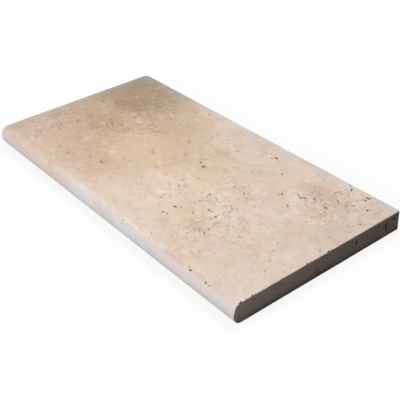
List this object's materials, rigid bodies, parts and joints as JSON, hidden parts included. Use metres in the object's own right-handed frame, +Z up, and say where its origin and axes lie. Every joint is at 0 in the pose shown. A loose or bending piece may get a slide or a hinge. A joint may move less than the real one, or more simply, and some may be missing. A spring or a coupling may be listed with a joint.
{
  "type": "pool coping stone",
  "caption": "Flat rectangular travertine coping stone with a full rounded nose along one long edge, for the rim of a pool.",
  "frame": {"origin": "centre of the stone's bounding box, on the bed it lies on", "axes": "+X along the pool's edge, -Y towards the water where the rounded nose is, +Z up through the walking face"},
  "size_m": [0.61, 0.305, 0.032],
  "materials": {
    "travertine": "matte"
  },
  "bodies": {
    "root": {"coping_stone": "travertine"}
  },
  "joints": []
}
